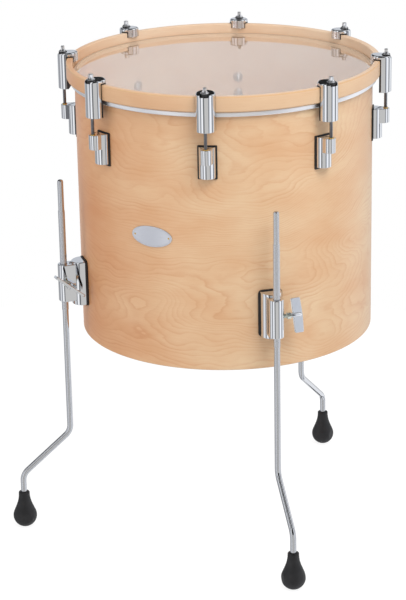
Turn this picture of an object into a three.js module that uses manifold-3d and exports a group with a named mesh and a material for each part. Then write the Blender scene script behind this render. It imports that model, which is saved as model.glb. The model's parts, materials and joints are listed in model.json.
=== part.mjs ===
import * as THREE from 'three';
import { mergeVertices } from 'three/addons/utils/BufferGeometryUtils.js';
import Module from 'manifold-3d';

const wasm = await Module();
wasm.setup();

// Floor tom: an 18 x 16 inch wooden shell on three bent legs, one clear head under a wooden hoop.
// Lengths are millimetres. Heights of the drum are measured from the lower edge of its shell.
// Angles round the drum start at the front, -Y, and grow towards +X.

// Shell
const shellDiameter = 457.2;
const shellDepth = 406.4;
const shellWall = 7.2;
const bearingInset = 2.2;
const bearingBevel = 4.6;
const lowerEdgeBevel = 1.0;

// Head film, the channel ring that holds its rim, and the wooden counter hoop
const filmThickness = 0.5;
const channelWidth = 5.2;
const channelHeight = 8.8;
const channelWall = 1.2;
const channelShellGap = 1.2;
const hoopShellGap = 2.7;
const hoopThickness = 9.3;
const hoopHeight = 23.0;
const hoopRise = 17.5;
const hoopEdge = 1.6;

// Claw hooks and their rubber liners
const clawWidth = 27.5;
const clawHeight = 56.0;
const clawPlate = 4.3;
const hookWidth = 21.0;
const hookDepth = 6.2;
const hookHeight = 15.5;
const linerBack = 2.3;
const linerRoof = 1.4;
const linerFront = 1.0;
const linerLip = 4.2;
const recessDiameter = 12.4;
const recessDepth = 1.6;

// Tension rods
const rodDiameter = 5.2;
const rodInset = 5.3;
const rodEngagement = 17.5;
const rodFlangeDiameter = 9.6;
const rodFlangeHeight = 2.0;
const rodConeHeight = 1.6;
const rodHeadSide = 5.6;
const rodHeadHeight = 7.4;

// Lugs, their screws and gaskets
const lugCount = 8;
const lugDepthBelowShellTop = 81.9;
const lugWidth = 25.0;
const lugHeight = 48.0;
const lugBossWidth = 18.0;
const lugBossHeight = 22.5;
const lugBossReach = 5.9;
const lugGasketWidth = 29.0;
const lugGasketHeight = 51.0;
const lugGasketThickness = 2.0;
const lugGasketCorner = 1.5;
const lugScrewSpacing = 27.0;
const insertDiameter = 7.4;
const insertRise = 1.0;

// Screws through the shell
const screwDiameter = 5.0;
const screwSeatDepth = 4.0;
const washerDiameter = 16.0;
const washerThickness = 1.2;
const screwHeadDiameter = 9.0;
const screwHeadHeight = 3.0;

// Leg brackets and their gaskets
const bracketHeightOnShell = 87.5;
const bracketWidth = 34.8;
const bracketHeight = 68.0;
const bracketDepth = 13.0;
const bracketScrewSpacing = 44.0;
const bracketGasketWidth = 39.0;
const bracketGasketHeight = 76.0;
const bracketGasketThickness = 2.5;
const bracketGasketCorner = 6.0;
const sleeveWidth = 22.0;
const sleeveHeight = 61.0;
const sleeveOuterWall = 4.3;
const legStandoff = 33.7;

// Wing bolts
const boltHeightBelowSleeveTop = 28.5;
const boltDiameter = 6.0;
const boltStub = 3.6;
const boltNutWidth = 11.0;
const boltNutLength = 6.0;
const wingSpan = 55.0;
const wingWidth = 14.2;
const wingSkew = 6.6;
const wingThickness = 3.8;
const wingHubDiameter = 9.6;

// Legs and feet
const legDiameter = 9.5;
const knurlDiameter = 10.3;
const tipDiameter = 8.9;
const tipLength = 49.0;
const knurlLength = 163.0;
const legTopAboveShellEdge = 256.5;
const legStraight = 416.5;
const legBendDrop = 64.8;
const legBendReach = 79.5;
const legBendRadius = 22.0;
const legFootDrop = 70.7;
const rodEdge = 1.4;
const knurlStep = 0.6;
const rearLegExtension = 35.3;
const leftLegExtension = 0.6;
const footDiameter = 37.6;
const footNeckDiameter = 17.4;
const footNeckHeight = 41.0;
const footNeckEdge = 1.2;
const footSocketDepth = 28.0;
const soleCut = 0.8;

// Badge plate
const badgeWidth = 68.0;
const badgeHeight = 32.0;
const badgeThickness = 1.2;
const badgeHeightOnShell = 204.0;

// Gaps: between pieces that rest on each other, round what turns or slides, and past each cut
const seatGap = 0.3;
const runningGap = 0.45;
const overrun = 3.0;

// Counts and angles
const ringSides = 48;
const halfRoundSteps = 4;
const cornerSteps = 2;
const rodSides = 10;
const legSides = 12;
const screwSides = 8;
const washerSides = 10;
const nutSides = 6;
const footSides = 16;
const footBallSteps = 3;
const footFlareSteps = 4;
const bendSteps = 3;
const quarterTurn = Math.PI / 2;
const halfTurn = Math.PI;
const fullTurn = Math.PI * 2;
const lugPitch = fullTurn / lugCount;
const badgeAngle = -lugPitch / 2;
const legPlaces = [
  { name: 'right', angle: lugPitch * 0.5, extension: 0, swivel: -0.024, wingTurn: -0.1 },
  { name: 'left', angle: lugPitch * -1.5, extension: leftLegExtension, swivel: 0, wingTurn: 0.97 },
  { name: 'rear', angle: lugPitch * 3.5, extension: rearLegExtension, swivel: -0.03, wingTurn: 0.45 },
];

// Sizes worked out from the ones above
const shellRadius = shellDiameter / 2;
const shellInnerRadius = shellRadius - shellWall;
const filmBottom = shellDepth + seatGap;
const filmTop = filmBottom + filmThickness;
const hoopTop = filmTop + hoopRise;
const hoopBottom = hoopTop - hoopHeight;
const hoopInnerRadius = shellRadius + hoopShellGap;
const hoopOuterRadius = hoopInnerRadius + hoopThickness;
const channelTop = hoopBottom - seatGap;
const channelBottom = channelTop - channelHeight;
const channelInnerRadius = shellRadius + channelShellGap;
const channelOuterRadius = channelInnerRadius + channelWidth;
const lipTop = channelTop - seatGap;
const lipBottom = lipTop - filmThickness;
const clawBack = hoopOuterRadius + linerBack + seatGap * 2;
const hookFace = hoopInnerRadius - linerFront - seatGap * 2;
const slotTop = hoopTop + linerRoof + seatGap * 2;
const clawTop = slotTop + clawPlate;
const clawBottom = clawTop - clawHeight;
const hookBottom = clawTop - hookHeight;
const hookCentre = hookFace - hookDepth + hookWidth / 2;
const rodCircle = clawBack + rodInset;
const rodHole = rodDiameter / 2 + runningGap;
const lugHeightOnShell = shellDepth - lugDepthBelowShellTop;
const lugTop = lugHeightOnShell + lugHeight / 2;
const lugBottom = lugTop - lugHeight;
const lugGasketBack = shellRadius + seatGap;
const lugGasketFront = lugGasketBack + lugGasketThickness;
const lugBack = lugGasketFront + seatGap;
const bracketGasketFront = lugGasketBack + bracketGasketThickness;
const bracketBack = bracketGasketFront + seatGap;
const bracketTop = bracketHeightOnShell + bracketHeight / 2;
const bracketBottom = bracketTop - bracketHeight;
const sleeveBottom = bracketTop - sleeveHeight;
const legCircle = shellRadius + legStandoff;
const sleeveBore = knurlDiameter / 2 + runningGap;
const boltHeight = bracketTop - boltHeightBelowSleeveTop;
const screwHole = screwDiameter / 2 + runningGap;
const footRadius = footDiameter / 2;
const legCorner = legTopAboveShellEdge - legStraight;
const footCentreHeight = legCorner - legBendDrop - legFootDrop;

// Solids

function closedGeometry(source) {
  source.deleteAttribute('normal');
  source.deleteAttribute('uv');
  const merged = mergeVertices(source);
  const corners = merged.index.array;
  const kept = [];
  for (let i = 0; i < corners.length; i += 3) {
    const [a, b, c] = corners.slice(i, i + 3);
    if (a !== b && b !== c && c !== a) kept.push(a, b, c);
  }
  if (signedVolume(merged.attributes.position, kept) < 0) kept.reverse();
  merged.setIndex(kept);
  return merged;
}

function signedVolume(points, corners) {
  const a = new THREE.Vector3();
  const b = new THREE.Vector3();
  const c = new THREE.Vector3();
  let total = 0;
  for (let i = 0; i < corners.length; i += 3) {
    a.fromBufferAttribute(points, corners[i]);
    b.fromBufferAttribute(points, corners[i + 1]);
    c.fromBufferAttribute(points, corners[i + 2]);
    total += a.dot(b.cross(c));
  }
  return total;
}

function toSolid(source) {
  const closed = closedGeometry(source);
  const vertProperties = new Float32Array(closed.attributes.position.array);
  const triVerts = new Uint32Array(closed.index.array);
  return new wasm.Manifold(new wasm.Mesh({ numProp: 3, vertProperties, triVerts }));
}

function toGeometry(solid) {
  const mesh = solid.getMesh();
  const geometry = new THREE.BufferGeometry();
  geometry.setAttribute('position', new THREE.BufferAttribute(mesh.vertProperties, mesh.numProp));
  geometry.setIndex(new THREE.BufferAttribute(mesh.triVerts, 1));
  geometry.computeVertexNormals();
  return geometry;
}

// A profile of [radius, height] pairs turned about the vertical axis
function turned(profile, sides) {
  const points = profile.map(([radius, height]) => new THREE.Vector2(radius, height));
  const lathe = new THREE.LatheGeometry(points, sides);
  lathe.rotateX(quarterTurn);
  return toSolid(lathe);
}

function ring(inner, outer, bottom, top, sides) {
  return turned([[inner, bottom], [outer, bottom], [outer, top], [inner, top], [inner, bottom]], sides);
}

function disc(radius, bottom, top, sides) {
  return turned([[0, bottom], [radius, bottom], [radius, top], [0, top]], sides);
}

// A plan outline, x sideways and -y outward, raised from bottom to top
function upright(shape, bottom, top, steps) {
  const settings = { depth: top - bottom, bevelEnabled: false, curveSegments: steps };
  const block = new THREE.ExtrudeGeometry(shape, settings);
  block.translate(0, 0, bottom);
  return toSolid(block);
}

// An outline seen from outside the drum, x sideways and y up, from one radius out to another
function outward(shape, inner, outer, steps) {
  const settings = { depth: outer - inner, bevelEnabled: false, curveSegments: steps };
  const plate = new THREE.ExtrudeGeometry(shape, settings);
  plate.rotateX(quarterTurn);
  plate.translate(0, -inner, 0);
  return toSolid(plate);
}

function circleShape(radius, x, y) {
  const shape = new THREE.Shape();
  shape.absarc(x, y, radius, 0, fullTurn);
  return shape;
}

// A round bar that points outward, its axis at a height
function outwardBar(radius, height, inner, outer, sides) {
  const bar = new THREE.CylinderGeometry(radius, radius, outer - inner, sides);
  bar.translate(0, -(inner + outer) / 2, height);
  return toSolid(bar);
}

// A round bar that lies sideways, along x
function sidewaysBar(radius, from, to, sides) {
  const bar = new THREE.CylinderGeometry(radius, radius, to - from, sides);
  bar.rotateZ(quarterTurn);
  bar.translate((from + to) / 2, 0, 0);
  return toSolid(bar);
}

function box(width, inner, outer, bottom, top) {
  const block = new THREE.BoxGeometry(width, outer - inner, top - bottom);
  block.translate(0, -(inner + outer) / 2, (bottom + top) / 2);
  return toSolid(block);
}

// Plan outline of a column that is round outside and flat at its back
function halfRoundShape(radius, back) {
  const shape = new THREE.Shape();
  shape.absarc(0, -back, radius, halfTurn, fullTurn);
  return shape;
}

// Plan outline with a round outer end and straight sides that run in to a radius
function armShape(radius, centre, inner) {
  const shape = new THREE.Shape();
  shape.moveTo(-radius, -inner);
  shape.absarc(0, -centre, radius, halfTurn, fullTurn);
  shape.lineTo(radius, -inner);
  return shape;
}

function roundedRectangle(width, height, corner, middle) {
  const right = width / 2 - corner;
  const top = middle + height / 2 - corner;
  const bottom = middle - height / 2 + corner;
  const shape = new THREE.Shape();
  shape.absarc(right, bottom, corner, -quarterTurn, 0);
  shape.absarc(right, top, corner, 0, quarterTurn);
  shape.absarc(-right, top, corner, quarterTurn, halfTurn);
  shape.absarc(-right, bottom, corner, halfTurn, halfTurn + quarterTurn);
  return shape;
}

// How far a flat of some width stands off the inside of the shell at its middle
function insideSagitta(width) {
  const half = width / 2;
  const facetSag = shellInnerRadius * (1 - Math.cos(halfTurn / ringSides));
  return shellInnerRadius - Math.sqrt(shellInnerRadius ** 2 - half ** 2) + facetSag * 2;
}

// A screw from inside the shell into a fitting, with its head and washer
function shellScrew(height, outer) {
  const washerFace = shellInnerRadius - insideSagitta(washerDiameter) - seatGap;
  const washerBack = washerFace - washerThickness;
  const headBack = washerBack - screwHeadHeight;
  const shank = outwardBar(screwDiameter / 2, height, headBack, outer, screwSides);
  const washer = outwardBar(washerDiameter / 2, height, washerBack, washerFace, washerSides);
  const head = outwardBar(screwHeadDiameter / 2, height, headBack, washerBack, nutSides);
  return shank.add(washer).add(head);
}

function screwHeights(middle, spacing) {
  return [middle - spacing / 2, middle + spacing / 2];
}

// Pieces of the drum, built about the drum's own axis

function shellGeometry() {
  const peak = shellRadius - bearingInset;
  let solid = turned([
    [shellInnerRadius, 0],
    [shellRadius - lowerEdgeBevel, 0],
    [shellRadius, lowerEdgeBevel],
    [shellRadius, shellDepth - bearingInset],
    [peak, shellDepth],
    [shellInnerRadius, shellDepth - bearingBevel],
    [shellInnerRadius, 0],
  ], ringSides);
  for (let place = 0; place < lugCount; place += 1) {
    const holes = shellHoles(lugHeightOnShell, lugScrewSpacing, place * lugPitch);
    solid = solid.subtract(holes);
  }
  for (const { angle } of legPlaces) {
    solid = solid.subtract(shellHoles(bracketHeightOnShell, bracketScrewSpacing, angle));
  }
  return toGeometry(solid);
}

function shellHoles(middle, spacing, angle) {
  const inner = shellInnerRadius - overrun;
  const outer = shellRadius + overrun;
  const [low, high] = screwHeights(middle, spacing).map((height) => {
    const bar = new THREE.CylinderGeometry(screwHole, screwHole, outer - inner, screwSides);
    bar.translate(0, -(inner + outer) / 2, height);
    bar.rotateZ(angle);
    return toSolid(bar);
  });
  return low.add(high);
}

function headFilmGeometry() {
  const mitre = filmThickness * Math.tan(quarterTurn / 4);
  const peak = shellRadius - bearingInset;
  const shoulder = shellDepth - bearingInset;
  const collar = shellRadius + seatGap;
  const lip = channelInnerRadius + channelWall + seatGap;
  const lipEnd = channelBottom + channelWall + seatGap;
  return toGeometry(turned([
    [0, filmBottom],
    [peak, filmBottom],
    [collar, shoulder],
    [collar, lipBottom],
    [lip, lipBottom],
    [lip, lipEnd],
    [lip + filmThickness, lipEnd],
    [lip + filmThickness, lipTop],
    [collar + filmThickness, lipTop],
    [collar + filmThickness, shoulder + mitre],
    [peak + mitre, filmTop],
    [0, filmTop],
  ], ringSides));
}

function fleshHoopGeometry() {
  const innerWallTop = lipBottom - seatGap;
  const floor = channelBottom + channelWall;
  const inside = channelInnerRadius + channelWall;
  const outside = channelOuterRadius - channelWall;
  return toGeometry(turned([
    [channelInnerRadius, channelBottom],
    [channelOuterRadius, channelBottom],
    [channelOuterRadius, channelTop],
    [outside, channelTop],
    [outside, floor],
    [inside, floor],
    [inside, innerWallTop],
    [channelInnerRadius, innerWallTop],
    [channelInnerRadius, channelBottom],
  ], ringSides));
}

function counterHoopGeometry() {
  return toGeometry(turned([
    [hoopInnerRadius, hoopBottom],
    [hoopOuterRadius - hoopEdge, hoopBottom],
    [hoopOuterRadius, hoopBottom + hoopEdge],
    [hoopOuterRadius, hoopTop - hoopEdge],
    [hoopOuterRadius - hoopEdge, hoopTop],
    [hoopInnerRadius + hoopEdge, hoopTop],
    [hoopInnerRadius, hoopTop - hoopEdge],
    [hoopInnerRadius, hoopBottom],
  ], ringSides));
}

function badgeGeometry() {
  const oval = new THREE.Shape();
  oval.absellipse(0, badgeHeightOnShell, badgeWidth / 2, badgeHeight / 2, 0, fullTurn);
  const back = shellRadius + seatGap;
  const plate = outward(oval, shellRadius - overrun, back + overrun, halfRoundSteps);
  const skin = ring(back, back + badgeThickness, 0, shellDepth, ringSides);
  return toGeometry(plate.intersect(skin));
}

// The hook reaches over the hoop from a half-round column that the tension rod runs down
function clawGeometry() {
  const column = upright(halfRoundShape(clawWidth / 2, clawBack), clawBottom, clawTop, halfRoundSteps);
  const bridge = new THREE.Shape();
  bridge.moveTo(hookWidth / 2, -clawBack - overrun);
  bridge.absarc(0, -hookCentre, hookWidth / 2, 0, halfTurn);
  bridge.lineTo(-hookWidth / 2, -clawBack - overrun);
  const hook = upright(bridge, hookBottom, clawTop, halfRoundSteps);
  const slot = box(hookWidth + overrun, hookFace, clawBack, hookBottom - overrun, slotTop);
  const hole = circleShape(rodHole, 0, -rodCircle);
  const bore = upright(hole, clawBottom - overrun, clawTop + overrun, rodSides / 2);
  const sunk = circleShape(recessDiameter / 2, 0, -rodCircle);
  const recess = upright(sunk, clawTop - recessDepth, clawTop + overrun, halfRoundSteps);
  return toGeometry(column.add(hook.subtract(slot)).subtract(bore).subtract(recess));
}

// Rubber between claw and hoop: a back with a thicker lip under the hoop, a roof and a front
function clawLinerGeometry() {
  const back = clawBack - seatGap;
  const front = hookFace + seatGap;
  const roof = slotTop - seatGap;
  const lipFace = back - linerLip;
  const shell = ring(
    hoopInnerRadius - seatGap,
    hoopOuterRadius + seatGap,
    hoopBottom - seatGap,
    hoopTop + seatGap,
    ringSides,
  );
  const backPad = box(clawWidth - seatGap * 2, lipFace, back, clawBottom + seatGap, roof);
  const hookPad = box(hookWidth - hookDepth / 2, front, back, hookBottom, roof);
  return toGeometry(backPad.add(hookPad).subtract(shell));
}

function tensionRodGeometry() {
  const seat = clawTop - recessDepth + seatGap;
  const flangeTop = seat + rodFlangeHeight;
  const coneTop = flangeTop + rodConeHeight;
  const end = lugTop - rodEngagement;
  const stem = turned([
    [0, end],
    [rodDiameter / 2, end],
    [rodDiameter / 2, seat],
    [rodFlangeDiameter / 2, seat],
    [rodFlangeDiameter / 2, flangeTop],
    [rodHeadSide / 2, coneTop],
    [0, coneTop],
  ], rodSides);
  const head = new THREE.BoxGeometry(rodHeadSide, rodHeadSide, rodHeadHeight + rodConeHeight);
  head.translate(0, 0, flangeTop + (rodHeadHeight + rodConeHeight) / 2);
  return toGeometry(stem.add(toSolid(head)));
}

// A half-round post screwed to the shell, with a boss that holds the brass insert
function lugGeometry() {
  const deepBack = lugBack - overrun;
  const postShape = armShape(lugWidth / 2, lugBack, deepBack);
  const post = upright(postShape, lugBottom, lugTop, halfRoundSteps);
  const bossCentre = rodCircle + lugBossReach - lugBossWidth / 2;
  const bossShape = armShape(lugBossWidth / 2, bossCentre, deepBack);
  const boss = upright(bossShape, lugTop - lugBossHeight, lugTop, halfRoundSteps);
  const insertShape = circleShape(insertDiameter / 2, 0, -rodCircle);
  const insert = upright(insertShape, lugTop - overrun, lugTop + insertRise, rodSides / 2);
  const hole = circleShape(rodHole, 0, -rodCircle);
  const bore = upright(hole, lugTop - lugBossHeight - overrun, lugTop + overrun, rodSides / 2);
  const shellSide = disc(lugBack, lugBottom - overrun, lugTop + overrun, ringSides);
  let solid = post.add(boss).subtract(shellSide).add(insert).subtract(bore);
  for (const height of screwHeights(lugHeightOnShell, lugScrewSpacing)) {
    solid = solid.add(shellScrew(height, lugBack + screwSeatDepth));
  }
  return toGeometry(solid);
}

function gasketGeometry(width, height, corner, thickness, middle, spacing, steps) {
  const outline = roundedRectangle(width, height, corner, middle);
  const front = lugGasketBack + thickness;
  const inner = lugGasketBack - overrun;
  const skin = ring(lugGasketBack, front, middle - height, middle + height, ringSides);
  let solid = outward(outline, inner, front + overrun, steps).intersect(skin);
  for (const screwHeight of screwHeights(middle, spacing)) {
    solid = solid.subtract(outwardBar(screwHole, screwHeight, inner, front + overrun, screwSides));
  }
  return toGeometry(solid);
}

// A half-round post with an arm that ends in the sleeve round the leg
function legBracketGeometry() {
  const deepBack = bracketBack - overrun;
  const postCentre = bracketBack + bracketDepth - bracketWidth / 2;
  const postShape = armShape(bracketWidth / 2, postCentre, postCentre - overrun);
  const post = upright(postShape, bracketBottom, bracketTop, halfRoundSteps);
  const sleeveCentre = legCircle + sleeveBore + sleeveOuterWall - sleeveWidth / 2;
  const armOutline = armShape(sleeveWidth / 2, sleeveCentre, deepBack);
  const arm = upright(armOutline, sleeveBottom, bracketTop, halfRoundSteps);
  const hole = circleShape(sleeveBore, 0, -legCircle);
  const bore = upright(hole, sleeveBottom - overrun, bracketTop + overrun, legSides / 2);
  const boltBore = sidewaysBar(boltDiameter / 2 + runningGap, 0, sleeveWidth, rodSides);
  const boltHole = boltBore.translate([0, -legCircle, boltHeight]);
  const shellSide = disc(bracketBack, bracketBottom - overrun, bracketTop + overrun, ringSides);
  let solid = post.add(arm).subtract(shellSide).subtract(bore).subtract(boltHole);
  for (const height of screwHeights(bracketHeightOnShell, bracketScrewSpacing)) {
    solid = solid.add(shellScrew(height, bracketBack + screwSeatDepth));
  }
  return toGeometry(solid);
}

// A threaded bolt with a nut-shaped collar and two blades, about its own axis along x
function wingBoltGeometry() {
  const tip = knurlDiameter / 2 + seatGap;
  const nutStart = sleeveWidth / 2 + boltStub;
  const nutEnd = nutStart + boltNutLength;
  const wingEnd = nutEnd + wingWidth + wingSkew;
  const half = wingSpan / 2;
  const stem = sidewaysBar(boltDiameter / 2, tip, nutEnd, rodSides);
  const nut = sidewaysBar(boltNutWidth / 2, nutStart, nutEnd, nutSides);
  const hub = sidewaysBar(wingHubDiameter / 2, nutEnd - seatGap, wingEnd - wingSkew / 2, rodSides);
  const outline = new THREE.Shape();
  outline.moveTo(nutEnd, half);
  outline.lineTo(nutEnd + wingWidth, half);
  outline.lineTo(wingEnd - wingSkew / 3, 0);
  outline.lineTo(wingEnd, -half);
  outline.lineTo(wingEnd - wingWidth, -half);
  outline.lineTo(nutEnd + wingSkew / 3, 0);
  const blades = outward(outline, -wingThickness / 2, wingThickness / 2, 1);
  return toGeometry(stem.add(nut).add(hub).add(blades));
}

// A round bar through stations that each give its centre, direction and radius
function barThrough(stations, sides) {
  const sideways = new THREE.Vector3(1, 0, 0);
  const points = [];
  for (const { centre, along, radius } of stations) {
    const across = along.clone().cross(sideways);
    for (let side = 0; side < sides; side += 1) {
      const angle = side * fullTurn / sides;
      const point = centre.clone();
      point.addScaledVector(sideways, radius * Math.cos(angle));
      point.addScaledVector(across, radius * Math.sin(angle));
      points.push(point);
    }
  }
  const corners = [];
  const last = (stations.length - 1) * sides;
  for (let side = 0; side < sides; side += 1) {
    const next = (side + 1) % sides;
    for (let start = 0; start < last; start += sides) {
      corners.push(start + side, start + next, start + sides + side);
      corners.push(start + next, start + sides + next, start + sides + side);
    }
    if (side > 0 && next > 0) {
      corners.push(0, next, side);
      corners.push(last, last + side, last + next);
    }
  }
  const geometry = new THREE.BufferGeometry().setFromPoints(points);
  geometry.setIndex(corners);
  return geometry;
}

// Stations round a bend: from a corner point, between two directions, with a centreline radius
function bendStations(corner, before, after, radius) {
  const turn = before.angleTo(after);
  const tangent = legBendRadius * Math.tan(turn / 2);
  const start = corner.clone().addScaledVector(before, -tangent);
  const inward = after.clone().addScaledVector(before, -after.dot(before)).normalize();
  const middle = start.clone().addScaledVector(inward, legBendRadius);
  const stations = [];
  for (let step = 0; step <= bendSteps; step += 1) {
    const angle = turn * step / bendSteps;
    const centre = middle.clone();
    centre.addScaledVector(inward, -legBendRadius * Math.cos(angle));
    centre.addScaledVector(before, legBendRadius * Math.sin(angle));
    const along = before.clone().multiplyScalar(Math.cos(angle));
    along.addScaledVector(inward, Math.sin(angle));
    stations.push({ centre, along, radius });
  }
  return stations;
}

// The leg about the axis of its straight top: tip, knurled run, two bends and the end in the foot
function legGeometry() {
  const down = new THREE.Vector3(0, 0, -1);
  const slope = new THREE.Vector3(0, -legBendReach, -legBendDrop).normalize();
  const top = legTopAboveShellEdge;
  const knurlTop = top - tipLength;
  const knurlBottom = knurlTop - knurlLength;
  const upper = new THREE.Vector3(0, 0, legCorner);
  const lower = new THREE.Vector3(0, -legBendReach, legCorner - legBendDrop);
  const end = footCentreHeight + footNeckHeight - footSocketDepth + seatGap;
  const level = (height, radius) => ({ centre: new THREE.Vector3(0, 0, height), along: down, radius });
  const radius = legDiameter / 2;
  return barThrough([
    level(top, tipDiameter / 2 - rodEdge),
    level(top - rodEdge, tipDiameter / 2),
    level(knurlTop, tipDiameter / 2),
    level(knurlTop - knurlStep, knurlDiameter / 2),
    level(knurlBottom + knurlStep, knurlDiameter / 2),
    level(knurlBottom, radius),
    ...bendStations(upper, down, slope, radius),
    ...bendStations(lower, slope, down, radius),
    { centre: new THREE.Vector3(0, -legBendReach, end), along: down, radius },
  ], legSides);
}

// A ball that narrows to a neck, with a socket for the leg, its sole cut level with the floor
function footGeometry(angle) {
  const flareAngle = halfTurn / 8;
  const ball = new THREE.Path();
  ball.absarc(0, 0, footRadius, -quarterTurn, flareAngle);
  const flare = new THREE.Vector2(Math.cos(flareAngle), Math.sin(flareAngle)).multiplyScalar(footRadius);
  const flarePull = new THREE.Vector2(-Math.sin(flareAngle), Math.cos(flareAngle));
  const flareLength = footNeckHeight - flare.y;
  const neck = new THREE.Vector2(footNeckDiameter / 2, footNeckHeight - footNeckEdge);
  const flareShare = 0.22;
  const neckShare = 0.42;
  const side = new THREE.CubicBezierCurve(
    flare,
    flare.clone().addScaledVector(flarePull, flareLength * flareShare),
    neck.clone().add(new THREE.Vector2(footNeckEdge, -flareLength * neckShare)),
    neck,
  );
  const bore = legDiameter / 2 + seatGap;
  const socketFloor = footNeckHeight - footSocketDepth;
  const outer = [...ball.getPoints(footBallSteps), ...side.getPoints(footFlareSteps).slice(1)];
  const profile = outer.map((point) => [point.x, point.y]);
  profile[0][0] = 0;
  profile.push([footNeckDiameter / 2 - footNeckEdge, footNeckHeight]);
  profile.push([bore, footNeckHeight], [bore, socketFloor], [0, socketFloor]);
  const floor = new THREE.BoxGeometry(footDiameter, footDiameter, footRadius);
  floor.translate(0, 0, -footRadius / 2 - footRadius + soleCut);
  floor.applyQuaternion(new THREE.Quaternion().setFromUnitVectors(upward, floorNormal));
  floor.rotateZ(-angle);
  return toGeometry(turned(profile, footSides).subtract(toSolid(floor)));
}

// The floor in the drum's own frame: the plane that the three feet stand on

const upward = new THREE.Vector3(0, 0, 1);

// A foot's centre in the frame of its leg's station, where -y is outward
function footPlace({ extension, swivel }) {
  const place = new THREE.Vector3(0, -legBendReach, footCentreHeight - extension);
  place.applyAxisAngle(upward, swivel);
  place.y -= legCircle;
  return place;
}

const footCentres = legPlaces.map((leg) => footPlace(leg).applyAxisAngle(upward, leg.angle));
const [rightFoot, leftFoot, rearFoot] = footCentres;
const floorNormal = rearFoot.clone().sub(leftFoot).cross(rightFoot.clone().sub(leftFoot)).normalize();
if (floorNormal.z < 0) floorNormal.negate();

// Finishes

function maple() {
  return new THREE.MeshStandardMaterial({ color: 0xe3ba86, roughness: 0.4, metalness: 0 });
}

function chrome() {
  return new THREE.MeshStandardMaterial({ color: 0xd9dbe0, roughness: 0.08, metalness: 1 });
}

function blackRubber() {
  return new THREE.MeshStandardMaterial({ color: 0x1c1c1e, roughness: 0.7, metalness: 0 });
}

function clearFilm() {
  const look = { color: 0xe9e2dc, roughness: 0.1, metalness: 0, transparent: true, opacity: 0.35 };
  return new THREE.MeshStandardMaterial(look);
}

function brushedAluminium() {
  return new THREE.MeshStandardMaterial({ color: 0xc9cbcf, roughness: 0.35, metalness: 1 });
}

// Assembly

function piece(name, geometry, material) {
  const mesh = new THREE.Mesh(geometry, material);
  mesh.name = name;
  return mesh;
}

function station(angle) {
  const place = new THREE.Group();
  place.rotation.z = angle;
  return place;
}

function tensionStations() {
  const claw = clawGeometry();
  const liner = clawLinerGeometry();
  const rod = tensionRodGeometry();
  const lug = lugGeometry();
  const gasket = gasketGeometry(
    lugGasketWidth,
    lugGasketHeight,
    lugGasketCorner,
    lugGasketThickness,
    lugHeightOnShell,
    lugScrewSpacing,
    1,
  );
  const places = [];
  for (let index = 0; index < lugCount; index += 1) {
    const number = index + 1;
    const place = station(index * lugPitch);
    const turningRod = piece(`tension_rod_${number}`, rod, chrome());
    turningRod.position.y = -rodCircle;
    place.add(piece(`claw_${number}`, claw, chrome()));
    place.add(piece(`claw_liner_${number}`, liner, blackRubber()));
    place.add(turningRod);
    place.add(piece(`lug_${number}`, lug, chrome()));
    place.add(piece(`lug_gasket_${number}`, gasket, blackRubber()));
    places.push(place);
  }
  return places;
}

function legStations() {
  const bracket = legBracketGeometry();
  const leg = legGeometry();
  const wing = wingBoltGeometry();
  const gasket = gasketGeometry(
    bracketGasketWidth,
    bracketGasketHeight,
    bracketGasketCorner,
    bracketGasketThickness,
    bracketHeightOnShell,
    bracketScrewSpacing,
    cornerSteps,
  );
  return legPlaces.map((setting) => {
    const { name, angle, extension, swivel, wingTurn } = setting;
    const place = station(angle);
    const rod = piece(`leg_${name}`, leg, chrome());
    rod.position.set(0, -legCircle, -extension);
    rod.rotation.z = swivel;
    const foot = piece(`foot_${name}`, footGeometry(angle), blackRubber());
    foot.position.copy(footPlace(setting));
    const wingBolt = piece(`wing_bolt_${name}`, wing, chrome());
    wingBolt.position.set(0, -legCircle, boltHeight);
    wingBolt.rotation.x = wingTurn;
    place.add(piece(`leg_bracket_${name}`, bracket, chrome()));
    place.add(piece(`bracket_gasket_${name}`, gasket, blackRubber()));
    place.add(rod, foot, wingBolt);
    return place;
  });
}

function floorTom() {
  const drum = new THREE.Group();
  drum.add(piece('shell', shellGeometry(), maple()));
  drum.add(piece('head_film', headFilmGeometry(), clearFilm()));
  drum.add(piece('flesh_hoop', fleshHoopGeometry(), brushedAluminium()));
  drum.add(piece('counter_hoop', counterHoopGeometry(), maple()));
  const badgePlace = station(badgeAngle);
  badgePlace.add(piece('badge', badgeGeometry(), brushedAluminium()));
  drum.add(badgePlace);
  drum.add(...tensionStations());
  drum.add(...legStations());
  return drum;
}

// The drum leans as its legs are set, and stands over the middle of its own outline
function standing(drum) {
  drum.quaternion.setFromUnitVectors(floorNormal, upward);
  const footHeight = leftFoot.clone().applyQuaternion(drum.quaternion).z;
  drum.position.z = footRadius - soleCut - footHeight;
  const stand = new THREE.Group();
  stand.add(drum);
  stand.updateMatrixWorld(true);
  const middle = new THREE.Box3().setFromObject(stand, true).getCenter(new THREE.Vector3());
  drum.position.x = -middle.x;
  drum.position.y = -middle.y;
  return stand;
}

export default standing(floorTom());
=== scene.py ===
import json
import math

import bmesh
import bpy
import numpy as np
from mathutils import Matrix


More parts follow.
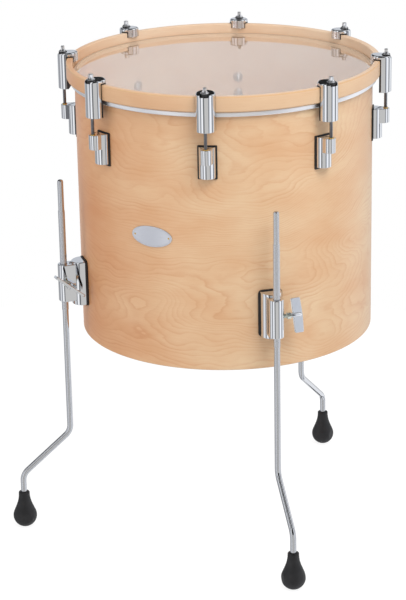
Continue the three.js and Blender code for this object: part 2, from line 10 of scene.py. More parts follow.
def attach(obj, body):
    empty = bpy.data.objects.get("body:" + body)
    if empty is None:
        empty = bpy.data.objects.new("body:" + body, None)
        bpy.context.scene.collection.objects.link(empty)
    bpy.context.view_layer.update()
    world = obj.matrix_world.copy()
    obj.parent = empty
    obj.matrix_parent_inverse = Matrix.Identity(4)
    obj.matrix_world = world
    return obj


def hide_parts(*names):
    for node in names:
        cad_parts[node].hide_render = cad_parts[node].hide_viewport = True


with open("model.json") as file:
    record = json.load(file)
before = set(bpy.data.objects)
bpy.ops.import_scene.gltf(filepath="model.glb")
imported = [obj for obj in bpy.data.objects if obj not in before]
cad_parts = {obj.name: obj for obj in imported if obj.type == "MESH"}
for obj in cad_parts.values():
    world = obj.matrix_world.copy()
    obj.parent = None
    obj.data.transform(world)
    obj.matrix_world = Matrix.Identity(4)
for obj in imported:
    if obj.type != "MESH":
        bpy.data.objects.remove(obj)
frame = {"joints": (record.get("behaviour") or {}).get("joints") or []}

scene = bpy.context.scene
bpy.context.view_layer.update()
mm = 0.001
spare = 20  # how far a cutter reaches past what it cuts, in mm


def unit(vectors):
    return vectors / np.linalg.norm(vectors, axis=-1, keepdims=True)


# The drum leans a little on its legs, so its own axes come from the pivots of its eight tension rods
joints = {joint["name"]: joint for joint in frame["joints"]}
rodPivotHeight = 431
rodPivots = np.array([joints[f"tension_rod_{k}_turn"]["pos_m"] for k in range(1, 9)])
drumUp = unit(np.array(joints["tension_rod_1_turn"]["axis"]))
drumBack = rodPivots[4] - rodPivots[0]
drumBack = unit(drumBack - drumUp * (drumBack @ drumUp))
drumAxes = np.array([np.cross(drumBack, drumUp), drumBack, drumUp])
drumOrigin = rodPivots.mean(axis=0) - drumUp * rodPivotHeight * mm
print("drum frame from the rod pivots", np.round(drumOrigin, 4))


# Shapes have every length in mm, x sideways, -y outwards and z up the drum.
# Points along an arc: the centre plus the radius times (sin, cos) of an angle in degrees
def arc(centre, radius, start, end, steps):
    angles = np.radians(np.linspace(start, end, steps + 1))
    return np.column_stack([centre[0] + radius * np.sin(angles), centre[1] + radius * np.cos(angles)])


def circle(centre, radius, steps, start=0):
    return arc(centre, radius, start, start + 360, steps)[:-1]


# An outline with straight sides and a half-round front
def roundFront(half, centre, root, narrower=0):
    return [*arc((0, centre), half, 90, -90, 48), (narrower - half, root), (half - narrower, root)]


# An outline with a half-round end outwards and one inwards
def roundEnds(half, outer, inner):
    return [*arc((0, outer), half, 90, -90, 48), *arc((0, inner), half, -90, -270, 48)]


# Each corner (x, y, radius) turned into an arc that touches both its sides: the points lie round a
# centre on the bisector, at radius / sin(half the corner's angle) from the corner
def rounded(corners, steps=4):
    corners, radii = np.split(np.array(corners, float), [2], axis=1)
    before, after = (unit(np.roll(corners, shift, axis=0) - corners) for shift in (1, -1))
    half = np.arccos(np.clip((before * after).sum(axis=1, keepdims=True), -1, 1)) / 2
    centre = corners + unit(before + after) * radii / np.sin(half)
    start, end = (corners + side * radii / np.tan(half) - centre for side in (before, after))
    turn = (math.pi - 2 * half)[:, None]
    share = np.linspace(0, 1, steps + 1)[None, :, None]
    swept = np.sin((1 - share) * turn) * start[:, None] + np.sin(share * turn) * end[:, None]
    return (centre[:, None] + swept / np.sin(turn)).reshape(-1, 2)


# Points on a straight line, no further apart than the longest step
def straight(start, end, longest):
    return np.linspace(start, end, math.ceil(math.dist(start, end) / longest) + 1)


# Four-sided faces over a grid of points, wrapped round where a side is closed, with flat
# coordinates across and along it where they are given
def grid(points, closeRows=False, closeCols=False, flat=None, material=0):
    rows, cols = points.shape[:2]
    row, col = np.indices((rows - (not closeRows), cols - (not closeCols))).reshape(2, -1, 1)
    row, col = row + np.array([0, 0, 1, 1]), col + np.array([0, 1, 1, 0])
    uv = None if flat is None else np.stack([flat[0][col], flat[1][row]], axis=-1)
    return {"points": points.reshape(-1, 3), "faces": (row % rows * cols + col % cols).tolist(),
            "uv": uv, "material": material}


# A profile of (radius, height) carried round the upright axis: (r sin a, -r cos a, z). A power p makes
# the section square: r / (|cos a|^p + |sin a|^p)^(1/p). The flat coordinates are the arc length round
# the drum, from the rear, and the height, in metres
def turned(profile, sides, closed=False, material=0, power=None, radii=None):
    profile = np.asarray(profile, float)
    angle = np.linspace(-math.pi, math.pi, sides + 1)
    sine, cosine = np.sin(angle[:-1]), np.cos(angle[:-1])
    reach = profile[:, :1] if radii is None else radii
    if power is not None:
        power = power[:, None]
        reach = reach / (np.abs(cosine) ** power + np.abs(sine) ** power) ** (1 / power)
    x, y = reach * sine, -reach * cosine
    z = np.broadcast_to(profile[:, 1:], x.shape)
    flat = angle * profile[:, 0].max() * mm, np.append(profile[:, 1], profile[0, 1]) * mm
    return grid(np.stack([x, y, z], axis=-1), closeRows=closed, closeCols=True, flat=flat, material=material)


# Radii of a thread: the radius falls by a triangle wave of height / pitch less angle / turn
def threadRadii(rows, radius, pitch, depth, sides):
    angle = np.linspace(-math.pi, math.pi, sides, endpoint=False)
    wave = np.abs(((rows[:, None] / pitch - angle / (2 * math.pi)) % 1) * 2 - 1)
    return radius - depth * wave


# A section carried along a path in the plane x = 0: the path plus radius (cos a, sin a) across it
def carried(path, along, radii):
    angle = np.linspace(0, 2 * math.pi, radii.shape[1], endpoint=False)[:, None]
    side = np.array([1, 0, 0])
    ring = np.cos(angle) * side + np.sin(angle) * np.cross(along, side)[:, None]
    return grid(path[:, None] + radii[..., None] * ring, closeCols=True)


# An outline carried straight on from low to high: up the drum, outwards from it or across it
def prism(outline, low, high, way="up"):
    a, b = np.tile(np.asarray(outline, float).T, 2)
    count = len(outline)
    level = np.repeat([low, high], count)
    points = {"up": (a, -b, level), "out": (a, -level, b), "across": (level, -a, b)}[way]
    here = np.arange(count)
    there = np.roll(here, -1)
    sides = np.column_stack([here, there, there + count, here + count]).tolist()
    caps = [here[::-1].tolist(), (here + count).tolist()]
    return {"points": np.column_stack(points), "faces": sides + caps, "uv": None, "material": 0}


# All that lies over a plane that falls outwards from a height, by an angle in degrees
def overSlope(start, end, height, fall):
    low = height - (end - start) * math.tan(math.radians(fall))
    section = [(start, height), (end, low), (end, height + spare), (start, height + spare)]
    return prism(section, -2 * spare, 2 * spare, "across")


# A plate wrapped onto the shell: outlines one inside the other, each (inset, height over the shell),
# from the back round the edge to the front. An inset of None is the middle, where the plate closes.
# x becomes the arc length round the drum
def wrapped(outlineAt, section, middle, back):
    rings = []
    for inset, height in section:
        x, y = (outlineAt(inset or 0) * (inset is not None)).T
        radius = back + height
        rings.append(np.column_stack([radius * np.sin(x / back), -radius * np.cos(x / back), middle + y]))
    flat = np.zeros(len(x) + 1), np.zeros(len(section) + 1)
    return grid(np.array(rings), closeCols=True, flat=flat)


# An upright sheet turned to lie outwards, inwards or across the drum, and put in its place
def aimed(sheet, way, place=(0, 0, 0)):
    x, y, z = sheet["points"].T
    axes = {"up": (x, y, z), "out": (x, -z, -y), "in": (x, z, y), "across": (z, y, -x)}[way]
    return {**sheet, "points": np.column_stack(axes) + place}


# Points turned about the upright axis by an angle in radians: (x cos a - y sin a, x sin a + y cos a, z)
def spun(points, angle):
    x, y, z = points.T
    c, s = math.cos(angle), math.sin(angle)
    return np.column_stack([x * c - y * s, x * s + y * c, z])


def pointsOf(mesh):
    points = np.empty(len(mesh.vertices) * 3)
    mesh.vertices.foreach_get("co", points)
    return points.reshape(-1, 3)


def setPoints(mesh, points):
    mesh.vertices.foreach_set("co", points.ravel())


# One mesh from sheets: doubles merged, so seams and poles close, and the faces turned outwards
def makeMesh(name, *sheets):
    starts = np.cumsum([0] + [len(sheet["points"]) for sheet in sheets])
    faces = [[corner + int(start) for corner in face] for sheet, start in zip(sheets, starts)
             for face in sheet["faces"]]
    mesh = bpy.data.meshes.new(name)
    mesh.from_pydata(np.concatenate([sheet["points"] for sheet in sheets]).tolist(), [], faces)
    numbers = np.repeat([sheet["material"] for sheet in sheets], [len(sheet["faces"]) for sheet in sheets])
    mesh.polygons.foreach_set("material_index", numbers)
    if all(sheet["uv"] is not None for sheet in sheets):
        layer = mesh.uv_layers.new(name="flat")
        layer.uv.foreach_set("vector", np.concatenate([sheet["uv"].reshape(-1) for sheet in sheets]))
    shape = bmesh.new()
    shape.from_mesh(mesh)
    bmesh.ops.remove_doubles(shape, verts=shape.verts, dist=1e-4)
    bmesh.ops.recalc_face_normals(shape, faces=shape.faces)
    shape.to_mesh(mesh)
    shape.free()
    return mesh


# Material numbers chosen from each face's middle
def sortFaces(mesh, choose):
    middle = np.empty(len(mesh.polygons) * 3)
    mesh.polygons.foreach_get("center", middle)
    mesh.polygons.foreach_set("material_index", choose(middle.reshape(-1, 3)).astype(int))


def smoothed(mesh, sharp):
    mesh.shade_smooth()
    mesh.set_sharp_from_angle(angle=math.radians(sharp))


def scratchObject(mesh):
    piece = bpy.data.objects.new("scratch", mesh)
    scene.collection.objects.link(piece)
    return piece


# A piece's modifiers made part of its mesh
def settled(piece):
    bpy.context.view_layer.update()
    graph = bpy.context.evaluated_depsgraph_get()
    mesh = bpy.data.meshes.new_from_object(piece.evaluated_get(graph), preserve_all_data_layers=True,
                                           depsgraph=graph)
    piece.modifiers.clear()
    piece.data = mesh
    return mesh


castLook = {"merge": 0.01, "flat": 0.4, "roundedFrom": 34, "sharpFrom": 42, "weight": 80}


# A casting: solids cut away, or joined or intersected where a cut says so, then the edges rounded as a
# die leaves them. Each round of cuts has an edge of its own
def cast(name, body, rounds, segments=3, look=castLook):
    piece = scratchObject(makeMesh(name, body))
    for edge, cuts in rounds:
        cuts = [cut if isinstance(cut, tuple) else ("DIFFERENCE", cut) for cut in cuts]
        tools = [scratchObject(solid if isinstance(solid, bpy.types.Mesh) else makeMesh("tool", solid))
                 for _, solid in cuts]
        for (operation, _), tool in zip(cuts, tools):
            boolean = piece.modifiers.new(operation, "BOOLEAN")
            boolean.operation, boolean.object, boolean.solver = operation, tool, "EXACT"
        mesh = settled(piece)
        shape = bmesh.new()
        shape.from_mesh(mesh)
        bmesh.ops.remove_doubles(shape, verts=shape.verts, dist=look["merge"])
        bmesh.ops.dissolve_degenerate(shape, edges=shape.edges, dist=look["merge"])
        bmesh.ops.dissolve_limit(shape, angle_limit=math.radians(look["flat"]), verts=shape.verts,
                                 edges=shape.edges)
        shape.to_mesh(mesh)
        shape.free()
        bevel = piece.modifiers.new("edges", "BEVEL")
        bevel.width, bevel.segments, bevel.limit_method = edge, segments, "ANGLE"
        bevel.angle_limit, bevel.use_clamp_overlap = math.radians(look["roundedFrom"]), False
        smoothed(settled(piece), look["sharpFrom"])
        for tool in tools:
            bpy.data.objects.remove(tool)
    weighted = piece.modifiers.new("flats", "WEIGHTED_NORMAL")
    weighted.keep_sharp, weighted.weight = True, look["weight"]
    mesh = settled(piece)
    bpy.data.objects.remove(piece)
    print("cast", name, len(mesh.polygons), "faces")
    return mesh


# A finished piece: the mesh's own copy put in its place at a station in degrees round the drum, with
# its materials, riding on its body
def makePiece(name, mesh, materials, angle=0, stands=(), sharp=None, body="drum",
              change=None):
    mesh = mesh.copy()
    mesh.name = name
    points = pointsOf(mesh)
    if change is not None:
        points = change(points)
    setPoints(mesh, drumOrigin + spun(points, math.radians(angle)) @ drumAxes * mm)
    for material in materials:
        mesh.materials.append(material)
    if sharp is not None:
        smoothed(mesh, sharp)
    mesh.update()
    piece = bpy.data.objects.new(name, mesh)
    scene.collection.objects.link(piece)
    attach(piece, body)
    if stands:
        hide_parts(*stands)
    return piece


# An sRGB hex colour as linear light
def linear(hexColour):
    channels = np.array([int(hexColour[k:k + 2], 16) for k in (0, 2, 4)]) / 255
    bright = np.where(channels <= 0.04045, channels / 12.92, ((channels + 0.055) / 1.055) ** 2.4)
    return (*bright.tolist(), 1)


def grey(level):
    return (level, level, level, 1)


# A node's inputs set: each takes a value, a hex colour or another node's socket
def feed(node, inputs):
    for key, value in inputs.items():
        if isinstance(value, bpy.types.NodeSocket):
            node.id_data.links.new(value, node.inputs[key])
        else:
            node.inputs[key].default_value = linear(value) if isinstance(value, str) else value


# A node with its settings and inputs; stops are a ramp's
def addNode(tree, kind, inputs=None, stops=(), **settings):
    node = tree.nodes.new("ShaderNode" + kind)
    for key, value in settings.items():
        setattr(node, key, value)
    feed(node, inputs or {})
    for index, (place, colour) in enumerate(stops):
        elements = node.color_ramp.elements
        stop = elements[index] if index < 2 else elements.new(place)
        stop.position, stop.color = place, colour
    return node


# One sum in a shader
def calc(tree, operation, *values):
    return addNode(tree, "Math", dict(enumerate(values)), operation=operation).outputs[0]


# A mix of two colours
def blend(tree, share, first, second, way="MIX"):
    return addNode(tree, "Mix", {0: share, 6: first, 7: second}, data_type="RGBA", blend_type=way).outputs[2]


# A value that runs between two limits brought to run between two others
def ranged(tree, value, low, high, start=0, end=1):
    limits = {"Value": value, "From Min": low, "From Max": high, "To Min": start, "To Max": end}
    return addNode(tree, "MapRange", limits).outputs["Result"]


# Greys that go from place to place: (place, level) at each stop
def greyRamp(tree, value, stops):
    colours = [(at, grey(level)) for at, level in stops]
    return addNode(tree, "ValToRGB", {"Fac": value}, colours).outputs["Color"]


# Noise whose lumps have a size in mm, or one for each direction
def noise(tree, place, size, detail, roughness=0.5):
    scale = 1 / (np.array(size) * mm)
    if np.ndim(size):
        place, scale = addNode(tree, "Mapping", {"Vector": place, "Scale": scale}).outputs["Vector"], 1
    inputs = {"Vector": place, "Scale": scale, "Detail": detail, "Roughness": roughness}
    return addNode(tree, "TexNoise", inputs).outputs["Fac"]


def dented(tree, height, strength, depth):
    inputs = {"Height": height, "Strength": strength, "Distance": depth * mm}
    return addNode(tree, "Bump", inputs).outputs["Normal"]


def newMaterial(name):
    material = bpy.data.materials.new(name)
    material.use_nodes = True
    tree = material.node_tree
    return material, tree, tree.nodes["Principled BSDF"], tree.nodes["Material Output"]


# Rotary-cut maple under satin lacquer: the growth rings come out as thin contour lines that wander
# like a map, over fine fibres that run round the drum, with broad pale and warm clouds. A painted shade
# darkens and reddens the left side, away from the key lamp; the places of its ramp go from 0 to 1
# round the drum from its rear
mapleLook = {
    "pale": "eccca5", "warm": "e2b387", "line": "d08f5f", "fibre": "d09a6c", "red": "ffdcbf",
    "ringSpacing": 6.6, "lineStrength": 0.63, "fibres": (34, 0.9, 1000), "clouds": (133.33, 60, 60),
    "wobble": 12, "wobbles": (50, 17, 1000), "faint": 0.3, "faintSize": 70, "leastSeason": 0.25,
    "redSide": [(0, 0), (0.15, 0), (0.26, 1), (0.345, 0.88), (0.4, 0.5), (0.46, 0.22), (0.53, 0)],
    "lineShape": [(0, 0.5), (0.06, 1), (0.25, 0.45), (0.6, 0.06), (0.92, 0), (1, 0.5)],
    "reach": 228.6, "streak": 0.22, "grain": 0.05, "grainDepth": 0.1, "lacquer": 0.5,
    "surface": {"Roughness": 0.5, "Coat IOR": 1.5, "Coat Roughness": 0.32},
}


def lacqueredMaple(name, figured=False, **changes):
    look = {**mapleLook, **changes}
    material, tree, shader, _ = newMaterial(name)
    flat = addNode(tree, "UVMap", uv_map="flat").outputs["UV"]
    clouds = noise(tree, flat, look["clouds"], 4)
    fibres = noise(tree, flat, look["fibres"], 3, 0.6)
    colour = blend(tree, ranged(tree, clouds, 0.32, 0.68), look["pale"], look["warm"])
    if figured:
        # Each ring of the field that the shell carries has a line of its own strength
        field = addNode(tree, "Attribute", attribute_name="figure").outputs["Fac"]
        shaken = calc(tree, "MULTIPLY_ADD", noise(tree, flat, look["wobbles"], 3), look["wobble"], field)
        rings = calc(tree, "DIVIDE", shaken, look["ringSpacing"])
        lines = greyRamp(tree, calc(tree, "FRACT", rings), look["lineShape"])
        season = addNode(tree, "TexWhiteNoise", {"W": calc(tree, "FLOOR", rings)}, noise_dimensions="1D")
        season = ranged(tree, season.outputs["Value"], 0, 1, look["leastSeason"])
        strength = ranged(tree, noise(tree, flat, look["faintSize"], 1), 0.3, 0.7,
                          look["lineStrength"] * look["faint"], look["lineStrength"])
        share = calc(tree, "MULTIPLY", lines, calc(tree, "MULTIPLY", season, strength))
        colour = blend(tree, share, colour, look["line"])
    colour = blend(tree, ranged(tree, fibres, 0.45, 0.75, 0, look["streak"]), colour, look["fibre"])
    # Painted shade: the left side, away from the key lamp, is tinted darker and redder
    along = addNode(tree, "SeparateXYZ", {0: flat}).outputs["X"]
    half = look["reach"] * math.pi * mm
    side = greyRamp(tree, ranged(tree, along, -half, half), look["redSide"])
    feed(shader, {
        "Base Color": blend(tree, side, colour, look["red"], "MULTIPLY"),
        "Normal": dented(tree, fibres, look["grain"], look["grainDepth"]), "Coat Weight": look["lacquer"],
        **look["surface"]})
    return material


# A plain surface mottled between two colours, with a stipple of (size, strength, depth) from a mould
def mottled(name, light, dark, size, settings, stipple=None):
    material, tree, shader, _ = newMaterial(name)
    place = addNode(tree, "TexCoord").outputs["Object"]
    feed(shader, {"Base Color": blend(tree, noise(tree, place, size, 2), light, dark), **settings})
    if stipple:
        feed(shader, {"Normal": dented(tree, noise(tree, place, stipple[0], 3), *stipple[1:])})
    return material


# Clear polyester film: smooth, a little glossy from both faces, and lamps shine through it
filmLook = {"Base Color": "fbf8f5", "Transmission Weight": 1, "Roughness": 0.03, "IOR": 1.64}
filmShade = "c4c4c6"


def polyesterFilm(name):
    material, tree, shader, output = newMaterial(name)
    feed(shader, filmLook)
    clear = addNode(tree, "BsdfTransparent", {"Color": filmShade}).outputs[0]
    mixed = {0: addNode(tree, "LightPath").outputs["Is Shadow Ray"], 1: shader.outputs[0], 2: clear}
    feed(output, {"Surface": addNode(tree, "MixShader", mixed).outputs[0]})
    return material


# Plated or bare metal: mirror-like where polished, with the faint waves that polishing leaves, or
# brushed, with a roughness that changes along a grain
def metal(name, colour, roughness, waveSize, waveDepth, grain=None, spread=0):
    material, tree, shader, _ = newMaterial(name)
    place = addNode(tree, "TexCoord").outputs["Object"]
    if grain:
        roughness = ranged(tree, noise(tree, place, grain, 3), 0.3, 0.7,
                           roughness - spread, roughness + spread)
    feed(shader, {"Base Color": colour, "Metallic": 1, "Roughness": roughness,
                  "Normal": dented(tree, noise(tree, place, waveSize, 1), 1, waveDepth)})
    return material


shellMaple = lacqueredMaple("maple, rotary-cut veneer, satin lacquer", True)
# The hoops get a milder painted shade on their left side
hoopMaple = lacqueredMaple("maple, bent hoop, satin lacquer", pale="e9c8a3", warm="e0b790", red="ffe4cd",
                           reach=240.6, lacquer=0.35)
hoopInnerMaple = lacqueredMaple("maple, inner ply of hoop, satin lacquer", pale="edd1b4", warm="e6c2a1",
                                red="f4dcc6", reach=240.6, lacquer=0.3)
innerMaple = lacqueredMaple("maple, inner ply, thin lacquer", pale="f1dcc4", warm="e8caad", lacquer=0.2)
thinCoat = {"Roughness": 0.6, "Coat Weight": 0.4, "Coat Roughness": 0.3}
edgeMaple = mottled("maple, cut plies, pale", "e6d3bd", "d9c2a8", 1.2, thinCoat)
outerPlyMaple = mottled("maple, rounded outer ply", "e2b98f", "d4a97c", 1.2, thinCoat)
film = polyesterFilm("polyester, clear drawn film")
# Milky where it is bent and glued in; its light colour is also painted light over the shade that falls in the
# gap between head and hoop
bentFilm = mottled("polyester, bent and glued, milky", "ceb9a4", "c6b09b", 8, {"Roughness": 0.3})
# Colour, roughness, and the size and depth in mm of the waves
channelMetal = metal("aluminium, rolled channel, satin", "fafafc", 0.42, 9, 0.01)
badgeMetal = metal("aluminium, brushed plate", "e6e7ed", 0.4, 30, 0.01, (9, 9, 0.3), 0.05)
castChrome = metal("chrome on zinc casting, polished", "e1e2e4", 0.045, 13, 0.03)
rodChrome = metal("chrome on drawn steel", "d3d4d7", 0.12, 30, 0.02)
headChrome = metal("chrome on forged rod head, satin", "f0f0f1", 0.28, 6, 0.02)
threadSteel = metal("steel, rolled thread, oiled", "8c8c90", 0.35, 6, 0.02)
zincSteel = metal("zinc-plated steel, yellowish passivated", "dbe0d6", 0.25, 4, 0.02)
brass = metal("brass, turned insert", "f0cb78", 0.25, 4, 0.01)
fromMould = (0.9, 0.25, 0.1)
blackRubber = mottled("rubber, moulded black", "0c0c0e", "2b2a2c", 14, {"Roughness": 0.55}, fromMould)
blackNylon = mottled("nylon, moulded black washer", "0a0a0b", "2b2a2c", 14, {"Roughness": 0.42}, fromMould)
print("materials ready")


# The wooden shell, with its bearing edge at the top
shellSizes = {
    "outer": 228.6, "inner": 221.4, "depth": 409.4, "bearing": 2.2, "chamfer": 1, "fold": 4.6,
    "sides": 512, "step": 3.4, "insideStep": 40,
}

# Swirls of the veneer's figure: degrees round the drum from the front, height, spread across and
# up in mm, how much they climb to the right, and how far the ring field is pushed there
figureSwirls = [
    (-22, 340, 62, 26, 0.1, 22), (-24, 285, 40, 18, -0.1, -12), (-2, 318, 34, 20, 0.1, -14),
    (8, 303, 40, 24, 0.1, 20), (14, 270, 60, 16, 0, 10), (28, 352, 66, 22, -0.25, 24),
    (-50, 320, 50, 28, 0.2, -16), (47, 330, 46, 40, 0.3, 26), (44, 255, 60, 26, 0.5, -14),
    (-52, 222, 56, 20, -0.15, 16), (-38, 165, 60, 16, 0.1, -18), (-20, 205, 40, 12, -0.2, 10),
    (7, 165, 66, 17, 0.05, -36), (10, 150, 30, 8, 0, 10), (56, 178, 80, 20, -0.12, -48),
    (66, 140, 60, 26, 0.1, 18), (45, 120, 50, 16, -0.2, 16), (-27, 104, 66, 19, 0.1, -38),
    (-45, 80, 40, 16, 0, 14), (8, 82, 74, 22, -0.1, 38), (2, 62, 30, 8, 0, -12),
    (46, 30, 74, 24, 0, 42), (20, 28, 40, 14, 0, -12), (-30, 36, 90, 12, -0.05, 14),
    (-62, 60, 50, 30, -0.2, 16), (88, 60, 60, 40, 0.2, 26), (85, 240, 60, 50, 0.3, -20),
    (112, 300, 80, 40, 0, -26), (112, 130, 60, 34, 0.1, 30), (140, 190, 70, 30, -0.1, 30),
    (170, 90, 80, 30, 0.1, 28), (-100, 260, 70, 40, 0.1, 26), (-90, 120, 50, 40, 0.2, -20),
    (-125, 120, 70, 30, -0.2, -26), (-150, 300, 80, 30, 0.1, 30), (175, 320, 70, 30, 0, -24),
    (-175, 210, 60, 26, 0.1, 22), (130, 60, 60, 24, 0, 24), (-140, 40, 70, 24, 0, 20),
]
figureBase = {
    "lift": ([-180, -130, -75, -50, -20, 0, 15, 30, 50, 72, 100, 140, 180],
             [0, 30, 20, 6, -2, -10, -14, -4, 26, 66, 50, 10, 0]),
    "slope": ([-80, 0, 60, 110, 150, 190, 262, 290, 410, 480],
              [-45, 0, 40, 72, 112, 150, 255, 272, 322, 350]),
    "waves": (2, 3, 4, 5, 7, 8, 10, 12, 15, 18, 22, 27, 33), "depth": 7, "fading": 0.75,
    "climb": 0.015, "steeper": 0.22, "liftHeight": 120, "leastLift": 0.25, "seed": 11,
}


# The ring field: a slope in height, lifted by places round the drum and steep where the lines crowd,
# plus a bell-shaped push at each swirl, plus waves whole round the drum that climb by chance
def figureField(points, base):
    angle = np.degrees(np.arctan2(points[:, 0], -points[:, 1]))
    height = points[:, 2]
    lift = np.interp(angle, *base["lift"]) * np.clip(height / base["liftHeight"], base["leastLift"], 1)
    field = np.interp(height - lift, *base["slope"])
    for turn, level, wide, tall, lean, push in figureSwirls:
        away = ((angle - turn + 180) % 360 - 180) * math.radians(shellSizes["outer"])
        above = height - level - lean * away
        field = field + push * np.exp(-((away / wide) ** 2 + (above / tall) ** 2) / 2)
    chance = np.random.default_rng(base["seed"])
    for count in base["waves"]:
        for climb in chance.uniform(-1, 1, 3):
            phase, share = chance.uniform(0, 2 * math.pi), chance.uniform(0.4, 1)
            rise = climb * (1 + count * base["steeper"]) * base["climb"] * height
            wave = np.sin(np.radians(angle) * count + rise + phase)
            field = field + share * base["depth"] / count ** base["fading"] * wave
    return field


def makeShell(outer, inner, depth, bearing, chamfer, fold, sides, step, insideStep):
    wall = straight((outer, chamfer), (outer, depth - bearing), step)
    crown = [wall[-1], (outer - bearing, depth), (inner, depth - fold)]
    inside = straight((inner, depth - fold), (inner, 0), insideStep)
    foot = [(inner, 0), (outer - chamfer, 0), (outer, chamfer)]
    mesh = makeMesh("shell", *[turned(part, sides, material=number) for part, number in
                               ((wall, 0), (crown, 2), (inside, 1), (foot, 2))])
    figure = mesh.attributes.new("figure", "FLOAT", "POINT")
    figure.data.foreach_set("value", figureField(pointsOf(mesh), figureBase))
    makePiece("maple_shell", mesh, [shellMaple, innerMaple, edgeMaple], stands=["shell"], sharp=30)


makeShell(**shellSizes)
print("shell made")


# Profiles as (radius, height). The film's goes out under it to the collar, and back over it; outside
# the crown, over the bearing edge, it bends down into the channel
rimSides = 384
filmSizes = {
    "crown": 226.4,
    "under": [(0, 409.7), (114.4, 409.7), (226.4, 409.7), (228.3, 409.7), (228.8, 409.65), (230.4, 408.5),
              (230.4, 406.2), (228.9, 403.1), (228.9, 400.6), (231.3, 400.6), (231.3, 394.1)],
    "over": [(231.8, 394.1), (231.8, 401.1), (229.4, 401.1), (229.4, 403.1), (230.9, 406.2), (230.9, 408.7),
             (229, 410.15), (228.4, 410.2), (226.4, 410.2), (114.4, 410.2), (0, 410.2)],
}
# With the rounding of each corner
channelSizes = {
    "corners": [(229.8, 393, 0.5), (235, 393, 2), (235, 399.2, 1.2), (233.5, 401.4, 0.4),
                (232.5, 401.4, 0.4), (233.8, 398.8, 0.6), (233.8, 394.2, 0.3), (231, 394.2, 0.3),
                (231, 400.3, 0.4), (229.8, 400.3, 0.4)],
}
hoopSizes = {"inner": 231.3, "outer": 240.6, "bottom": 401.7, "top": 424.7, "edge": 1.9, "lowEdge": 0.3,
             "outerPly": 1.5, "innerPly": 0.3}


def reachOf(middle):
    return np.hypot(middle[:, 0], middle[:, 1])


def makeFilm(crown, under, over):
    mesh = makeMesh("film", turned(under + over, rimSides))
    sortFaces(mesh, lambda middle: reachOf(middle) > crown)
    makePiece("head_film_clear", mesh, [film, bentFilm], stands=["head_film"], sharp=60)


def makeChannel(corners):
    mesh = makeMesh("channel", turned(rounded(corners), rimSides, closed=True))
    makePiece("channel_ring", mesh, [channelMetal], stands=["flesh_hoop"], sharp=40)


def makeHoop(inner, outer, bottom, top, edge, lowEdge, outerPly, innerPly):
    profile = rounded([(inner, bottom, lowEdge), (outer, bottom, edge), (outer, top, edge),
                       (inner, top, edge)], 6)
    mesh = makeMesh("hoop", turned(profile, rimSides, closed=True))

    # The inner side and the top are the paler inner ply; on the rounded inner top edge this pale is also a
    # painted highlight over the edge's shade. The rounded outer edge shows the ply under the veneer
    def plyAt(middle):
        reach, high = reachOf(middle), middle[:, 2] > top - edge
        return np.where(high & (reach > outer - outerPly), 2, high | (reach < inner + innerPly))

    sortFaces(mesh, plyAt)
    makePiece("wooden_hoop", mesh, [hoopMaple, hoopInnerMaple, outerPlyMaple],
              stands=["counter_hoop"], sharp=40)


makeFilm(**filmSizes)
makeChannel(**channelSizes)
makeHoop(**hoopSizes)
print("head, channel ring and hoop made")


# A bare oval plate with a raised rim and two rivets; its section is (inset, height over the shell)
badgeSizes = {
    "width": 68, "height": 32, "back": 228.9, "middle": 204, "angle": -22.5, "sides": 96,
    "section": [(None, 0), (8, 0), (0.1, 0), (0, 0.3), (0, 0.8), (0.2, 1.12), (0.6, 1.2), (1, 1.18),
                (1.44, 0.82), (1.8, 0.7), (5, 0.7), (9, 0.7), (12, 0.7), (15, 0.7), (None, 0.7)],
    "rivet": 1.5, "rivetPlace": 28.6, "rivetHeight": 0.5, "rivetDome": 0.35,
}


def makeBadge(width, height, back, middle, angle, sides, section, rivet, rivetPlace, rivetHeight, rivetDome):
    def ovalAt(inset):
        return circle((0, 0), 1, sides, 90) * [width / 2 - inset, inset - height / 2]

    makePiece("badge_plate", makeMesh("badge", wrapped(ovalAt, section, middle, back)), [badgeMetal], angle,
              ["badge"], 50)
    dome = arc((0, rivetHeight), rivet, 90, 0, 5) * [1, rivetDome] + [0, rivetHeight]
    for index, side in enumerate((-1, 1)):
        turn = math.degrees(side * rivetPlace / back)
        head = aimed(turned([(0, 0), (rivet, 0), *dome], 20), "out", (0, -back, middle))
        makePiece(f"badge_rivet_{index + 1}", makeMesh("rivet", head), [brass], angle + turn, sharp=40)


makeBadge(**badgeSizes)


# Flat rubber between casting and shell, its section as the badge's
gasketLooks = {
    "lug": {"width": 29, "height": 51, "corner": 1.5, "thickness": 2, "middle": 324.5},
    "bracket": {"width": 36.6, "height": 73.5, "corner": 6, "thickness": 3.4, "middle": 88.7},
}
gasketBack = 228.9
lugAngles = [45 * k for k in range(8)]
legPlaces = {"right": 22.5, "left": -67.5, "rear": 157.5}


def gasketMesh(width, height, corner, thickness, middle, leastCorner=0.2):
    def outlineAt(inset):
        return rounded([(x * (width / 2 - inset), y * (height / 2 - inset), max(corner - inset, leastCorner))
                        for x, y in ((1, 1), (-1, 1), (-1, -1), (1, -1))], 8)

    section = [(None, 0), (6, 0), (0.01, 0), (0, 0.02), (0, thickness - 0.5), (0.15, thickness - 0.15),
               (0.5, thickness), (6, thickness), (None, thickness)]
    return makeMesh("gasket", wrapped(outlineAt, section, middle, gasketBack))


lugGasket, bracketGasket = gasketMesh(**gasketLooks["lug"]), gasketMesh(**gasketLooks["bracket"])
for k, angle in enumerate(lugAngles, 1):
    makePiece(f"lug_gasket_{k}_rubber", lugGasket, [blackRubber], angle, [f"lug_gasket_{k}"], 40)
for place, angle in legPlaces.items():
    makePiece(f"bracket_gasket_{place}_rubber", bracketGasket, [blackRubber], angle,
              [f"bracket_gasket_{place}"], 40)
print("badge and gaskets made")


